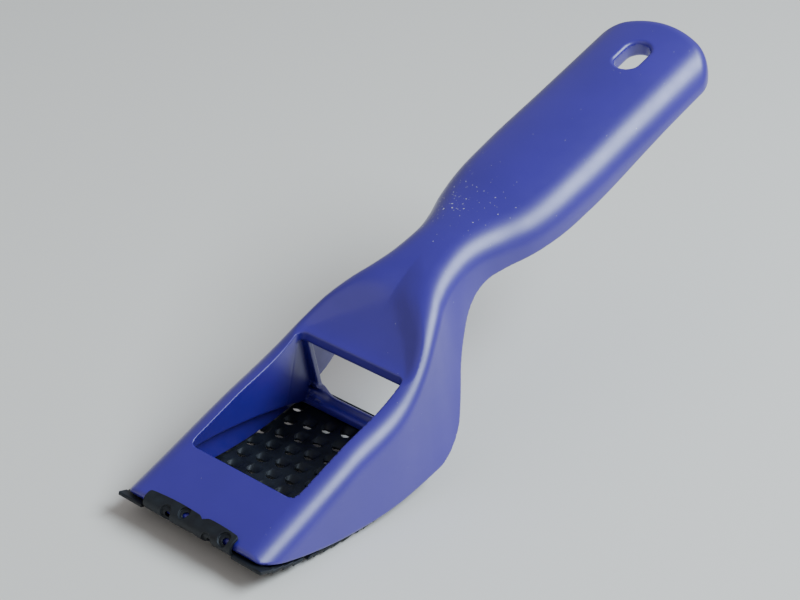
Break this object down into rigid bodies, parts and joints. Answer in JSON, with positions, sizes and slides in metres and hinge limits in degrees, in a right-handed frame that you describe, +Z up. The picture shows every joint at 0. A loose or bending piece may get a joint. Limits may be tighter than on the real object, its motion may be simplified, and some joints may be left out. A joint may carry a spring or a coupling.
{
  "type": "wood rasp",
  "caption": "Short one-handed wood shaving rasp: a moulded plastic body with a curved, perforated and toothed steel blade that unhooks for replacement.",
  "frame": {"origin": "at the tips of the lowest teeth, under the middle of the blade's curve and on the tool's plane of symmetry", "axes": "+X from the toe to the handle, +Y to the user's left with the toe pointing away, +Z up from the cutting face"},
  "size_m": [0.1747, 0.0464, 0.0815],
  "materials": {
    "body_plastic": "satin blue-violet moulded plastic",
    "blade_steel": "black oxide, teeth slightly brighter"
  },
  "bodies": {
    "handle": {"handle_frame": "body_plastic"},
    "blade": {"rasp_blade": "blade_steel"}
  },
  "joints": [
    {"name": "blade_release", "type": "hinge", "parent": "handle", "child": "blade", "pos_m": [-0.027, 0, 0.019], "axis": [0, 1, 0], "range_deg": [0, 50]}
  ]
}
